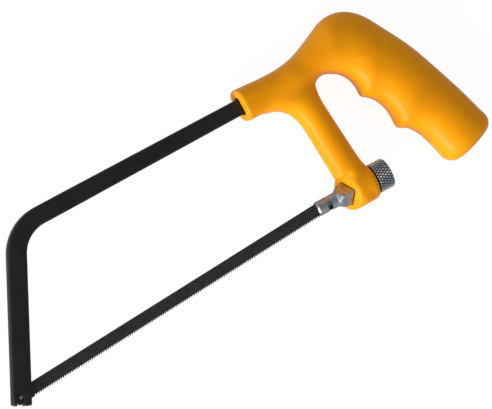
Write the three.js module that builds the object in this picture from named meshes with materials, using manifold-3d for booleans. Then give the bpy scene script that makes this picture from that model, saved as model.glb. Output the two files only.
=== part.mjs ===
// Six-inch junior hacksaw: a bent steel bar in a moulded pistol-grip handle, with a pin-end
// blade that a drawbar and a knurled knob pull tight.
//
// Units are millimetres. The saw lies on its side: +X runs along the blade towards the hand,
// +Y from the blade to the rail, +Z is up through the thickness. Shapes are drawn in the saw's
// own middle plane, measured from the front blade pin, and the whole saw is moved at the end so
// that the origin is the middle of the bottom of its bounding box.

import * as THREE from 'three';
import { mergeVertices } from 'three/addons/utils/BufferGeometryUtils.js';
import Module from 'manifold-3d';

const wasm = await Module();
wasm.setup();

// ---------------------------------------------------------------- driving dimensions

const FIT_GAP = 0.3;               // clearance between a piece and the pocket that holds it
const CUT_MARGIN = 8;              // how far a cutting shape reaches past what it cuts
const BOSS_SIDES = 40;             // sides of the turned shapes
const SHAFT_SIDES = 36;
const RING_PART_SIDES = 32;
const PIN_SIDES = 20;
const KNOB_SIDES = 48;

// Blade: a standard pin-end junior blade, 24 teeth to the inch.
const PIN_SPACING = 148.7;
const BLADE_SPINE = 2.8;           // height of the spine above the line of the pins
const TOOTH_LINE = -2.8;           // height of the tooth tips, below the same line
const BLADE_THICKNESS = 0.65;
const BLADE_FRONT_OVERHANG = 2.3;  // blade beyond the front pin
const BLADE_REAR_OVERHANG = 2.4;
const TOOTH_PITCH = 25.4 / 24;
const TOOTH_DEPTH = 0.75;
const BLADE_CORNER = 0.5;          // cut off each corner of the blade
const TOOTH_RAKE = 0.08;           // from the gullet to the tip, as a share of the pitch
const TOOTH_BACK = 0.18;           // from the gullet to the back of the tip
const PLAIN_END = 4.6;             // stretch without teeth, from each pin inwards
const PIN_RADIUS = 0.8;
const PIN_HOLE_GAP = 0.05;
const PIN_CHAMFER = 0.15;
const FRONT_PIN_LENGTH = 6.0;
const REAR_PIN_LENGTH = 5.4;

// Frame bar: rectangular steel bar, bent once into a rail and an upright.
const BAR_THICKNESS = 6.4;         // along Z
const BAR_EDGE = 1.0;              // rounding of its long edges
const UPRIGHT_WIDTH = 7.9;
const RAIL_FRONT_WIDTH = 7.4;      // the rail tapers from the bend
const RAIL_REAR_WIDTH = 6.5;       // to where it enters the handle
const UPRIGHT_SLOPE = 60.5;        // degrees from the blade to the upright
const RAIL_SLOPE = -3.04;          // degrees from the blade to the rail
const UPRIGHT_OFFSET = 0.4;        // upright's middle line from the front pin, towards the hand
const RAIL_HEIGHT = 57.05;         // rail's middle line above the pins, at RAIL_STATION
const RAIL_STATION = 53;
const BEND_RADIUS = 17.3;          // of the middle line
const FORK_TIP = -3.6;             // end of the upright, measured along it from the front pin
const TIP_EDGE = 1.0;
const FORK_SLIT_DEPTH = 10.1;
const FORK_SLIT_WIDTH = 1.3;
const PIN_SLOT_WIDTH = 2.7;
const PIN_SLOT_OFFSET = -0.34;     // slot's middle line from the pin, across the upright
const PIN_SLOT_TOP = 1.2;
const TANG_END = 176;              // x of the hidden end of the rail, inside the handle
const TANG_NOTCH = 1.1;            // depth of the notches that the moulding grips
const NOTCH_RADIUS = 2.2;
const NOTCH_STATIONS = [150, 166];

// Tension line: drawbar, washer and knob share one axis, from the rear blade pin backwards.
const AXIS_SLOPE = -3.9;
const NOSE_RADIUS = 3.1;
const NOSE_FRONT = -5.3;
const NOSE_REAR = 3.9;
const NOSE_CHAMFER = 0.5;
const NOSE_SLIT_WIDTH = 1.2;
const NOSE_SLIT_END = 3.8;
const NOSE_PIN_SLOT = 1.9;
const SHANK_FLATS = 7.1;           // square stock, one corner up
const SHANK_END = 16.5;
const SHANK_CHAMFER = 2.9;         // length of the cone between the nose and the corners
const THREAD_RADIUS = 2.4;
const THREAD_END = 28;
const THREAD_CHAMFER = 0.6;
const POCKET_FLATS = 7.7;
const POCKET_END = 17.2;
const BORE_RADIUS = 2.9;
const BOSS_RADIUS = 7.6;
const BOSS_FACE = 9.3;             // where the slanted front face crosses the tension line
const BOSS_FACE_SLANT = 22.8;      // the face is turned towards the +Z side by this angle
const BOSS_FACE_TOP = 6.6;         // the face ends here, above the tension line
const BOSS_REAR = 21.8;
const BOSS_EDGE = 2.4;
const SEAT_RADIUS = 5.7;           // round recess at the back of the boss, for the washer
const SEAT_DEPTH = 1.15;
const WASHER_FRONT = 20.95;
const WASHER_THICKNESS = 0.8;
const WASHER_RADIUS = 5.4;
const KNOB_FRONT = 22.05;
const KNOB_LENGTH = 6.75;
const KNOB_RADIUS = 6.5;
const KNOB_CHAMFER = 0.5;
const KNOB_BORE = 2.65;

// Handle: one moulding. Thicknesses are halves, measured from the middle plane.
const SOCKET_HALF = 9.0;
const WEB_HALF = 9.6;
const GRIP_HALF = 11.8;
const ARM_HALF = 6.9;
const FOOT_HALF = 6.6;
const RING_SIDES = 32;
const SOCKET_FACE = 137.4;         // x of the end that the rail enters
const SOCKET_LIP = 1.3;
const BUTT_DEPTH = 5.0;            // rounded end of the grip
const BUTT_EDGE = 4.2;

// ---------------------------------------------------------------- small helpers

const radians = THREE.MathUtils.degToRad;

function solidFrom(geometry) {
  const bare = geometry.clone();
  bare.deleteAttribute('normal');
  bare.deleteAttribute('uv');
  const merged = mergeVertices(bare, 1e-4);
  const triVerts = new Uint32Array(merged.index.array);
  const vertProperties = new Float32Array(merged.attributes.position.array);
  return new wasm.Manifold(new wasm.Mesh({ numProp: 3, vertProperties, triVerts }));
}

function geometryFrom(solid) {
  const mesh = solid.getMesh();
  const geometry = new THREE.BufferGeometry();
  geometry.setAttribute('position', new THREE.BufferAttribute(new Float32Array(mesh.vertProperties), 3));
  geometry.setIndex(new THREE.BufferAttribute(new Uint32Array(mesh.triVerts), 1));
  return geometry;
}

// A closed skin over a row of rings that all have the same number of points.
function loft(rings) {
  const sides = rings[0].length;
  const points = rings.flat();
  const index = [];
  for (let ring = 0; ring + 1 < rings.length; ring += 1) {
    for (let side = 0; side < sides; side += 1) {
      const next = (side + 1) % sides;
      const a = ring * sides + side;
      const b = ring * sides + next;
      index.push(a, b, b + sides, a, b + sides, a + sides);
    }
  }
  for (const [ring, flip] of [[0, true], [rings.length - 1, false]]) {
    const middle = points.length;
    const centre = new THREE.Vector3();
    rings[ring].forEach((point) => centre.addScaledVector(point, 1 / sides));
    points.push(centre);
    for (let side = 0; side < sides; side += 1) {
      const a = ring * sides + side;
      const b = ring * sides + (side + 1) % sides;
      index.push(...(flip ? [middle, b, a] : [middle, a, b]));
    }
  }
  const geometry = new THREE.BufferGeometry().setFromPoints(points);
  geometry.setIndex(index);
  return geometry;
}

// Rounded section between two points of the middle plane. A power of 2 is an ellipse,
// and a higher one is squarer.
function ovalRing(front, back, half, power, inset = 0) {
  const centre = front.clone().add(back).multiplyScalar(0.5);
  const reach = back.clone().sub(front).multiplyScalar(0.5);
  reach.setLength(reach.length() - inset);
  const bend = (value) => Math.sign(value) * Math.abs(value) ** (2 / power);
  const ring = [];
  for (let side = 0; side < RING_SIDES; side += 1) {
    const angle = (2 * Math.PI * side) / RING_SIDES;
    const across = bend(Math.cos(angle));
    ring.push(new THREE.Vector3(
      centre.x + reach.x * across,
      centre.y + reach.y * across,
      (half - inset) * bend(Math.sin(angle)),
    ));
  }
  return ring;
}

// Flat outline in the middle plane, given a thickness along Z.
function plate(shape, thickness, bevel = 0) {
  const geometry = new THREE.ExtrudeGeometry(shape, {
    depth: thickness - 2 * bevel,
    bevelEnabled: bevel > 0,
    bevelThickness: bevel,
    bevelSize: bevel,
    bevelOffset: -bevel,
    bevelSegments: 3,
    curveSegments: 16,
  });
  return geometry.translate(0, 0, bevel - thickness / 2);
}

function rectangle(left, bottom, right, top) {
  return new THREE.Shape([
    new THREE.Vector2(left, bottom),
    new THREE.Vector2(right, bottom),
    new THREE.Vector2(right, top),
    new THREE.Vector2(left, top),
  ]);
}

// Turned shape on the X axis. The profile is a list of [distance along X, radius].
function turned(profile, sides) {
  const points = profile.map(([along, radius]) => new THREE.Vector2(radius, along));
  return new THREE.LatheGeometry(points, sides).rotateZ(-Math.PI / 2);
}

// Square bar on the X axis, with one corner up.
function squareBar(from, to, flats) {
  const bar = new THREE.BoxGeometry(to - from, flats, flats);
  return bar.rotateX(Math.PI / 4).translate((from + to) / 2, 0, 0);
}

function quarterRound(along, radius, edge, steps, towardsEnd) {
  const points = [];
  for (let step = 0; step <= steps; step += 1) {
    const angle = (Math.PI / 2) * (step / steps);
    const swing = towardsEnd ? angle : Math.PI / 2 - angle;
    const shift = towardsEnd ? Math.sin(swing) - 1 : 1 - Math.sin(swing);
    points.push([along + edge * shift, radius - edge * (1 - Math.cos(swing))]);
  }
  return points;
}

// ---------------------------------------------------------------- reference lines

const frontPin = new THREE.Vector2(0, 0);
const rearPin = new THREE.Vector2(PIN_SPACING, 0);

const uprightWay = new THREE.Vector2(Math.cos(radians(UPRIGHT_SLOPE)), Math.sin(radians(UPRIGHT_SLOPE)));
const uprightSide = new THREE.Vector2(uprightWay.y, -uprightWay.x);
const railWay = new THREE.Vector2(Math.cos(radians(RAIL_SLOPE)), Math.sin(radians(RAIL_SLOPE)));

function onUpright(along, across = 0) {
  return frontPin.clone().addScaledVector(uprightWay, along).addScaledVector(uprightSide, across);
}

function onRail(x, across = 0) {
  const point = new THREE.Vector2(x, RAIL_HEIGHT + (x - RAIL_STATION) * (railWay.y / railWay.x));
  return point.add(new THREE.Vector2(-railWay.y, railWay.x).multiplyScalar(across));
}

function railHalfWidth(x) {
  const share = THREE.MathUtils.clamp((x - RAIL_STATION) / (SOCKET_FACE - RAIL_STATION), 0, 1);
  return THREE.MathUtils.lerp(RAIL_FRONT_WIDTH, RAIL_REAR_WIDTH, share) / 2;
}

// Places a shape that was made on the X axis onto the tension line.
function ontoTensionLine(geometry) {
  return geometry.rotateZ(radians(AXIS_SLOPE)).translate(rearPin.x, rearPin.y, 0);
}

// ---------------------------------------------------------------- frame bar

function barCorner() {
  const start = onUpright(0, UPRIGHT_OFFSET);
  const rail = onRail(RAIL_STATION);
  const gap = rail.clone().sub(start);
  const turn = uprightWay.x * railWay.y - uprightWay.y * railWay.x;
  const reach = (gap.x * railWay.y - gap.y * railWay.x) / turn;
  return start.addScaledVector(uprightWay, reach);
}

function roundedBarSection(halfWidth, grow) {
  const halfHeight = BAR_THICKNESS / 2 + grow;
  const points = [];
  for (const [across, up, first] of [[1, 1, 0], [-1, 1, 1], [-1, -1, 2], [1, -1, 3]]) {
    for (let step = 0; step <= 3; step += 1) {
      const angle = (Math.PI / 2) * (first + step / 3);
      points.push([
        across * (halfWidth + grow - BAR_EDGE) + BAR_EDGE * Math.cos(angle),
        up * (halfHeight - BAR_EDGE) + BAR_EDGE * Math.sin(angle),
      ]);
    }
  }
  return points;
}

// Middle line of the bar as stations: a place, the direction of travel and half the width.
function barStations() {
  const corner = barCorner();
  const turnAngle = radians(UPRIGHT_SLOPE - RAIL_SLOPE);
  const tangent = BEND_RADIUS * Math.tan(turnAngle / 2);
  const bendStart = corner.clone().addScaledVector(uprightWay, -tangent);
  const centre = bendStart.clone().addScaledVector(uprightSide, BEND_RADIUS);
  const half = UPRIGHT_WIDTH / 2;
  const tipSteps = 3;
  const stations = [];
  for (let step = 0; step <= tipSteps; step += 1) {
    const angle = (Math.PI / 2) * (step / tipSteps);
    stations.push({
      at: onUpright(FORK_TIP + TIP_EDGE * (1 - Math.cos(angle)), UPRIGHT_OFFSET),
      heading: radians(UPRIGHT_SLOPE),
      half,
      grow: TIP_EDGE * (Math.sin(angle) - 1),
    });
  }
  const steps = 16;
  for (let step = 0; step <= steps; step += 1) {
    const share = step / steps;
    const heading = radians(UPRIGHT_SLOPE) - turnAngle * share;
    const outwards = new THREE.Vector2(-Math.sin(heading), Math.cos(heading));
    const at = centre.clone().addScaledVector(outwards, BEND_RADIUS);
    stations.push({ at, heading, half: THREE.MathUtils.lerp(UPRIGHT_WIDTH, RAIL_FRONT_WIDTH, share) / 2 });
  }
  for (const x of [RAIL_STATION, SOCKET_FACE, TANG_END]) {
    stations.push({ at: onRail(x), heading: radians(RAIL_SLOPE), half: railHalfWidth(x) });
  }
  return stations;
}

function barGeometry(stations) {
  const rings = stations.map(({ at, heading, half, grow = 0 }) => (
    roundedBarSection(half, grow).map(([across, up]) => (
      new THREE.Vector3(at.x - across * Math.sin(heading), at.y + across * Math.cos(heading), up)
    ))
  ));
  return loft(rings);
}

function makeFrameBar() {
  let bar = solidFrom(barGeometry(barStations()));

  const alongUpright = (geometry) => geometry
    .rotateZ(radians(UPRIGHT_SLOPE - 90))
    .translate(frontPin.x, frontPin.y, 0);
  const slit = plate(rectangle(-CUT_MARGIN, FORK_TIP - 1, CUT_MARGIN, FORK_TIP + FORK_SLIT_DEPTH), FORK_SLIT_WIDTH);
  bar = bar.subtract(solidFrom(alongUpright(slit)));

  const pinSlot = new THREE.Shape();
  const half = PIN_SLOT_WIDTH / 2;
  pinSlot.moveTo(PIN_SLOT_OFFSET - half, FORK_TIP - 1);
  pinSlot.lineTo(PIN_SLOT_OFFSET + half, FORK_TIP - 1);
  pinSlot.lineTo(PIN_SLOT_OFFSET + half, PIN_SLOT_TOP - half);
  pinSlot.absarc(PIN_SLOT_OFFSET, PIN_SLOT_TOP - half, half, 0, Math.PI, false);
  bar = bar.subtract(solidFrom(alongUpright(plate(pinSlot, BAR_THICKNESS + 2))));

  for (const x of NOTCH_STATIONS) {
    for (const side of [1, -1]) {
      const notch = new THREE.CylinderGeometry(NOTCH_RADIUS, NOTCH_RADIUS, BAR_THICKNESS + 2, PIN_SIDES);
      notch.rotateX(Math.PI / 2);
      const at = onRail(x, side * (railHalfWidth(x) + NOTCH_RADIUS - TANG_NOTCH));
      bar = bar.subtract(solidFrom(notch.translate(at.x, at.y, 0)));
    }
  }
  return geometryFrom(bar);
}

// ---------------------------------------------------------------- handle

// The body runs from the socket, over the crown and down the grip. Each row gives the edge
// nearest the fingers, the outer edge, half the thickness and the squareness of the section.
function bodySections() {
  const row = (frontX, frontY, backX, backY, half, power) => ({
    front: new THREE.Vector2(frontX, frontY),
    back: new THREE.Vector2(backX, backY),
    half,
    power,
  });
  return [
    row(SOCKET_FACE + 1.2, 45.7, SOCKET_FACE + 1.9, 59.6, SOCKET_HALF, 3.0),
    row(143.5, 45.5, 144.0, 59.1, SOCKET_HALF, 2.8),
    row(149.5, 45.5, 149.8, 58.4, SOCKET_HALF, 2.6),
    row(156.0, 46.0, 155.6, 58.0, SOCKET_HALF, 2.4),
    row(162.0, 46.4, 161.2, 58.0, WEB_HALF, 2.3),
    row(167.5, 46.8, 166.4, 58.7, WEB_HALF, 2.2),
    row(172.0, 46.6, 171.8, 60.2, 10.2, 2.2),
    row(176.0, 45.6, 178.4, 62.7, 11.0, 2.2),
    row(179.0, 44.0, 185.4, 65.3, GRIP_HALF, 2.2),
    row(181.5, 42.0, 191.8, 65.3, GRIP_HALF, 2.2),
    row(183.2, 39.6, 197.2, 62.8, GRIP_HALF, 2.2),
    row(184.3, 36.6, 201.3, 58.8, GRIP_HALF, 2.2),
    row(184.7, 33.2, 204.0, 54.5, GRIP_HALF, 2.2),
    row(184.5, 30.2, 206.2, 50.4, GRIP_HALF, 2.2),
    row(186.4, 28.4, 208.1, 46.9, GRIP_HALF, 2.2),
    row(188.7, 25.8, 210.5, 42.2, GRIP_HALF, 2.2),
    row(190.5, 21.8, 213.1, 36.6, GRIP_HALF, 2.2),
    row(191.2, 17.4, 215.1, 31.4, GRIP_HALF, 2.2),
    row(191.0, 12.8, 216.7, 26.9, GRIP_HALF, 2.2),
    row(191.4, 11.0, 217.7, 24.0, GRIP_HALF, 2.2),
    row(193.9, 9.5, 219.0, 20.0, GRIP_HALF, 2.2),
    row(196.2, 7.2, 220.4, 15.6, GRIP_HALF, 2.2),
    row(198.4, 3.2, 221.9, 10.8, GRIP_HALF, 2.2),
    row(199.6, -0.6, 223.3, 5.8, GRIP_HALF, 2.2),
    row(200.6, -4.6, 224.6, 1.0, GRIP_HALF, 2.2),
    row(201.6, -9.0, 225.5, -2.2, GRIP_HALF, 2.3),
  ];
}

// Adds a section between each two, on a smooth curve through the ones around it.
function smoothed(rows) {
  const share = [-1 / 16, 9 / 16, 9 / 16, -1 / 16];
  const last = rows.length - 1;
  return rows.flatMap((row, place) => {
    if (place === last) return [row];
    const around = [place - 1, place, place + 1, place + 2].map((at) => (
      rows[THREE.MathUtils.clamp(at, 0, last)]
    ));
    const between = { front: new THREE.Vector2(), back: new THREE.Vector2(), half: 0, power: 0 };
    around.forEach(({ front, back, half, power }, at) => {
      between.front.addScaledVector(front, share[at]);
      between.back.addScaledVector(back, share[at]);
      between.half += half * share[at];
      between.power += power * share[at];
    });
    return [row, between];
  });
}

// Ring of a section that has been moved along a direction and drawn in on all sides.
function movedRing({ front, back, half, power }, way, distance, inset) {
  const shift = way.clone().multiplyScalar(distance);
  return ovalRing(front.clone().add(shift), back.clone().add(shift), half, power, inset);
}

// Rings that round off the end of a loft, beyond its last section.
function roundedEnd(section, way, depth, edge, steps) {
  const rings = [];
  for (let step = 1; step <= steps; step += 1) {
    const angle = (Math.PI / 2) * (step / steps);
    rings.push(movedRing(section, way, depth * Math.sin(angle), edge * (1 - Math.cos(angle))));
  }
  return rings;
}

function bodyGeometry() {
  const rows = smoothed(bodySections());
  const last = rows[rows.length - 1];
  const buttWay = new THREE.Vector2(last.back.y - last.front.y, last.front.x - last.back.x).normalize();
  const rings = rows.map(({ front, back, half, power }) => ovalRing(front, back, half, power));
  const lip = roundedEnd(rows[0], railWay.clone().negate(), SOCKET_LIP, SOCKET_LIP, 3);
  return loft([...lip.reverse(), ...rings, ...roundedEnd(last, buttWay, BUTT_DEPTH, BUTT_EDGE, 5)]);
}

// The arm hangs from the body to the tension boss. It flares where it meets the body, and its
// foot is the oval front of the boss.
function armGeometry() {
  const row = (y, left, right, half) => ({
    front: new THREE.Vector2(left, y),
    back: new THREE.Vector2(right, y),
    half,
    power: 2.2,
  });
  const rows = [
    row(51.0, 146.0, 176.0, 8.6),
    row(48.0, 144.6, 173.5, 8.6),
    row(45.2, 146.2, 170.2, 8.3),
    row(42.9, 150.4, 169.2, 7.9),
    row(39.9, 153.6, 168.6, 7.5),
    row(36.4, 155.4, 168.4, 7.2),
    row(31.0, 156.4, 168.6, ARM_HALF),
    row(18.0, 156.7, 169.2, ARM_HALF),
    row(9.5, 156.8, 169.7, ARM_HALF),
    row(4.0, 156.4, 170.5, 6.8),
    row(-1.0, 156.1, 170.0, FOOT_HALF),
    row(-5.7, 155.7, 169.2, FOOT_HALF),
  ];
  const down = new THREE.Vector2(Math.sin(radians(AXIS_SLOPE)), -Math.cos(radians(AXIS_SLOPE)));
  const rings = smoothed(rows).map(({ front, back, half, power }) => ovalRing(front, back, half, power));
  return loft([...rings, ...roundedEnd(rows[rows.length - 1], down, BOSS_EDGE, BOSS_EDGE, 4)]);
}

// A block that fills the space ahead of the boss's slanted front face, up to a height.
function aheadOfFace(top) {
  const length = 4 * BOSS_RADIUS;
  const height = top + 2 * BOSS_RADIUS;
  const block = new THREE.BoxGeometry(length, height, length);
  block.translate(-length / 2, top - height / 2, 0).rotateY(radians(BOSS_FACE_SLANT));
  return ontoTensionLine(block.translate(BOSS_FACE, 0, 0));
}

function makeHandle() {
  const bossProfile = [
    [BOSS_FACE - BOSS_RADIUS, 0],
    [BOSS_FACE - BOSS_RADIUS, BOSS_RADIUS],
    ...quarterRound(BOSS_REAR, BOSS_RADIUS, BOSS_EDGE, 4, true),
    [BOSS_REAR, 0],
  ];
  const barrel = solidFrom(ontoTensionLine(turned(bossProfile, BOSS_SIDES)))
    .subtract(solidFrom(aheadOfFace(2 * BOSS_RADIUS)));
  const arm = solidFrom(armGeometry()).subtract(solidFrom(aheadOfFace(BOSS_FACE_TOP)));
  let handle = solidFrom(bodyGeometry()).add(arm).add(barrel);

  const socket = [SOCKET_FACE - 10, TANG_END + FIT_GAP].map((x) => ({
    at: onRail(x),
    heading: radians(RAIL_SLOPE),
    half: railHalfWidth(x),
    grow: FIT_GAP,
  }));
  handle = handle.subtract(solidFrom(barGeometry(socket)));
  handle = handle.subtract(solidFrom(ontoTensionLine(squareBar(0, POCKET_END, POCKET_FLATS))));
  const behind = BOSS_REAR + CUT_MARGIN;
  const seatFloor = BOSS_REAR - SEAT_DEPTH;
  const hollow = turned([
    [POCKET_END - 1, 0],
    [POCKET_END - 1, BORE_RADIUS],
    [seatFloor, BORE_RADIUS],
    [seatFloor, SEAT_RADIUS],
    [behind, SEAT_RADIUS],
    [behind, 0],
  ], RING_PART_SIDES);
  handle = handle.subtract(solidFrom(ontoTensionLine(hollow)));
  return geometryFrom(handle);
}

// ---------------------------------------------------------------- blade and pins

function bladeShape() {
  const left = -BLADE_FRONT_OVERHANG;
  const right = PIN_SPACING + BLADE_REAR_OVERHANG;
  const gullet = TOOTH_LINE + TOOTH_DEPTH;
  const count = Math.floor((PIN_SPACING - 2 * PLAIN_END) / TOOTH_PITCH);
  const start = (PIN_SPACING - count * TOOTH_PITCH) / 2;
  const shape = new THREE.Shape();
  shape.moveTo(left, TOOTH_LINE + BLADE_CORNER);
  shape.lineTo(left + BLADE_CORNER, TOOTH_LINE);
  shape.lineTo(start - TOOTH_PITCH * TOOTH_BACK, TOOTH_LINE);
  for (let tooth = 0; tooth < count; tooth += 1) {
    const x = start + tooth * TOOTH_PITCH;
    shape.lineTo(x, gullet);
    shape.lineTo(x + TOOTH_PITCH * TOOTH_RAKE, TOOTH_LINE);
    shape.lineTo(x + TOOTH_PITCH * TOOTH_BACK, TOOTH_LINE + TOOTH_DEPTH * 0.1);
  }
  const end = start + count * TOOTH_PITCH;
  shape.lineTo(end, gullet);
  shape.lineTo(end + TOOTH_PITCH * TOOTH_RAKE, TOOTH_LINE);
  shape.lineTo(right - BLADE_CORNER, TOOTH_LINE);
  shape.lineTo(right, TOOTH_LINE + BLADE_CORNER);
  shape.lineTo(right, BLADE_SPINE - BLADE_CORNER);
  shape.lineTo(right - BLADE_CORNER, BLADE_SPINE);
  shape.lineTo(left + BLADE_CORNER, BLADE_SPINE);
  shape.lineTo(left, BLADE_SPINE - BLADE_CORNER);
  for (const pin of [frontPin, rearPin]) {
    const hole = new THREE.Path();
    hole.absarc(pin.x, pin.y, PIN_RADIUS + PIN_HOLE_GAP, 0, 2 * Math.PI, true);
    shape.holes.push(hole);
  }
  return shape;
}

function makeBlade() {
  return plate(bladeShape(), BLADE_THICKNESS);
}

function makePin(length) {
  const half = length / 2;
  return turned([
    [-half, 0],
    [-half, PIN_RADIUS - PIN_CHAMFER],
    [-half + PIN_CHAMFER, PIN_RADIUS],
    [half - PIN_CHAMFER, PIN_RADIUS],
    [half, PIN_RADIUS - PIN_CHAMFER],
    [half, 0],
  ], PIN_SIDES).rotateY(Math.PI / 2);
}

// ---------------------------------------------------------------- drawbar, washer and knob

function makeDrawbar() {
  const shankCorner = SHANK_FLATS / Math.SQRT2;
  const core = turned([
    [NOSE_FRONT, 0],
    [NOSE_FRONT, NOSE_RADIUS - NOSE_CHAMFER],
    [NOSE_FRONT + NOSE_CHAMFER, NOSE_RADIUS],
    [SHANK_END - THREAD_CHAMFER, NOSE_RADIUS],
    [SHANK_END, THREAD_RADIUS],
    [THREAD_END - THREAD_CHAMFER, THREAD_RADIUS],
    [THREAD_END, THREAD_RADIUS - THREAD_CHAMFER],
    [THREAD_END, 0],
  ], SHAFT_SIDES);
  const cone = turned([
    [NOSE_REAR, 0],
    [NOSE_REAR, NOSE_RADIUS],
    [NOSE_REAR + SHANK_CHAMFER, shankCorner + 0.1],
    [SHANK_END, shankCorner + 0.1],
    [SHANK_END, 0],
  ], SHAFT_SIDES);
  const square = solidFrom(squareBar(NOSE_REAR, SHANK_END, SHANK_FLATS)).intersect(solidFrom(cone));
  const slit = plate(rectangle(NOSE_FRONT - 1, -CUT_MARGIN, NOSE_SLIT_END, CUT_MARGIN), NOSE_SLIT_WIDTH);
  const pinSlot = new THREE.Shape();
  const half = NOSE_PIN_SLOT / 2;
  pinSlot.moveTo(-half, -CUT_MARGIN);
  pinSlot.lineTo(half, -CUT_MARGIN);
  pinSlot.lineTo(half, 0);
  pinSlot.absarc(0, 0, half, 0, Math.PI, false);
  const drawbar = solidFrom(core).add(square)
    .subtract(solidFrom(slit))
    .subtract(solidFrom(plate(pinSlot, CUT_MARGIN)));
  return ontoTensionLine(geometryFrom(drawbar));
}

function makeWasher() {
  const rear = WASHER_FRONT + WASHER_THICKNESS;
  const hole = THREAD_RADIUS + FIT_GAP;
  return ontoTensionLine(turned([
    [WASHER_FRONT, hole],
    [WASHER_FRONT, WASHER_RADIUS],
    [rear, WASHER_RADIUS],
    [rear, hole],
    [WASHER_FRONT, hole],
  ], RING_PART_SIDES));
}

function makeKnob() {
  const rear = KNOB_FRONT + KNOB_LENGTH;
  return ontoTensionLine(turned([
    [KNOB_FRONT, KNOB_BORE],
    [KNOB_FRONT, KNOB_RADIUS - KNOB_CHAMFER],
    [KNOB_FRONT + KNOB_CHAMFER, KNOB_RADIUS],
    [rear - KNOB_CHAMFER, KNOB_RADIUS],
    [rear, KNOB_RADIUS - KNOB_CHAMFER],
    [rear, KNOB_BORE],
    [KNOB_FRONT, KNOB_BORE],
  ], KNOB_SIDES));
}

// ---------------------------------------------------------------- assembly

const saw = new THREE.Group();

function addPiece(name, geometry, colour, roughness, metalness, x = 0, y = 0) {
  const material = new THREE.MeshStandardMaterial({ color: colour, roughness, metalness });
  const mesh = new THREE.Mesh(geometry, material);
  mesh.name = name;
  mesh.position.set(x, y, 0);
  saw.add(mesh);
}

addPiece('frame_bar', makeFrameBar(), 0x202022, 0.5, 0.2);
addPiece('handle', makeHandle(), 0xe08a08, 0.4, 0.0);
addPiece('blade', makeBlade(), 0x2c2c2e, 0.5, 0.4);
addPiece('blade_front_pin', makePin(FRONT_PIN_LENGTH), 0x77777a, 0.4, 0.8, frontPin.x, frontPin.y);
addPiece('blade_rear_pin', makePin(REAR_PIN_LENGTH), 0x77777a, 0.4, 0.8, rearPin.x, rearPin.y);
addPiece('drawbar', makeDrawbar(), 0xa8a8ac, 0.3, 0.9);
addPiece('thrust_washer', makeWasher(), 0xb4b4b8, 0.3, 0.9);
addPiece('tension_knob', makeKnob(), 0xc4c8d0, 0.2, 1.0);

const extent = new THREE.Box3().setFromObject(saw, true);
const middle = extent.getCenter(new THREE.Vector3());
saw.position.set(-middle.x, -middle.y, -extent.min.z);

export default saw;
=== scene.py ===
import math

import bmesh
import bpy
import numpy as np
import openvdb
from mathutils import Matrix, Vector


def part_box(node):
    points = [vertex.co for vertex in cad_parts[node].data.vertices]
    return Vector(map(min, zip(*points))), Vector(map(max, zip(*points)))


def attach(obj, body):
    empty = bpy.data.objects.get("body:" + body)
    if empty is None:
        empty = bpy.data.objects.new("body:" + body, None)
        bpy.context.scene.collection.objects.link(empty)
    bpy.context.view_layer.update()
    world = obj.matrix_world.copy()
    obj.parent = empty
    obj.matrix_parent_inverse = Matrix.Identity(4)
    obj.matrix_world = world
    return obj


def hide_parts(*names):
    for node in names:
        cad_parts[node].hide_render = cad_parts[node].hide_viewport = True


# Looks of a six-inch junior hacksaw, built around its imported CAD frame.
#
# Shapes are drawn in millimetres in the saw's own middle plane: x runs along the blade from
# the front blade pin, y from the blade to the rail, and z through the thickness. Everything
# is placed by the pins of the CAD frame.

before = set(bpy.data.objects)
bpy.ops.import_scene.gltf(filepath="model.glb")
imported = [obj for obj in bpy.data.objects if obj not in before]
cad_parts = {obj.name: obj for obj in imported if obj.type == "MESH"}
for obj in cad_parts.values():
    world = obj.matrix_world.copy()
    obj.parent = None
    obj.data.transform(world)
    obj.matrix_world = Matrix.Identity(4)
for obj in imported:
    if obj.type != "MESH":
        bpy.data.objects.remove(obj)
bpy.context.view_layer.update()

MM = 0.001


def centre_of(node):
    low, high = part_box(node)
    return (low + high) / 2


FRONT_PIN = centre_of("blade_front_pin")
PIN_SPACING = (centre_of("blade_rear_pin") - FRONT_PIN).length / MM


# ---------------------------------------------------------------- sizes

# Frame bar
BAR_HALF = 3.2                 # half its thickness, along z
BAR_EDGE = 1.0
UPRIGHT_WIDTH = 7.9
RAIL_FRONT_WIDTH = 7.4
RAIL_REAR_WIDTH = 6.5
UPRIGHT_SLOPE = math.radians(60.5)
RAIL_SLOPE = math.radians(-3.04)
UPRIGHT_OFFSET = 0.4
RAIL_HEIGHT = 57.05
RAIL_STATION = 53.0
BEND_RADIUS = 17.3
FORK_TIP = -3.6
TIP_EDGE = 1.0
FORK_SLIT_DEPTH = 10.1
FORK_SLIT_WIDTH = 1.3
PIN_SLOT_WIDTH = 2.7
PIN_SLOT_OFFSET = -0.34
PIN_SLOT_TOP = 1.2
TANG_END = 176.0
TANG_NOTCH = 1.1
NOTCH_RADIUS = 2.2
NOTCH_STATIONS = (150.0, 166.0)
FIT_GAP = 0.3
SLIT_REACH = 8                 # how far the tool that cuts the slit reaches to each side

# Blade
BLADE_HALF = 0.325
BLADE_SPINE = 2.8
TOOTH_LINE = -2.8
TOOTH_PITCH = 25.4 / 24
TOOTH_DEPTH = 0.75
TOOTH_SET = 0.14               # sideways lean of the teeth, in waves
WAVE_TEETH = 8
PLAIN_END = 4.6
BLADE_OVERHANG = 2.3
BLADE_CORNER = 0.5
BLADE_CHAMFER = 0.12           # along the spine
TOOTH_RAKE = 0.08              # from the gullet to the tip, as a share of the pitch
TOOTH_TIP = 0.16               # from the gullet to the back of the tip
TOOTH_BACK = 0.66              # from the gullet to the foot of the back
TOOTH_LEAN_TOP = -1.6          # the teeth lean sideways below this height
PIN_HOLE_GAP = 0.04
PIN_RADIUS = 0.8
PIN_EDGE = 0.18
PIN_DOME = 0.05

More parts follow.
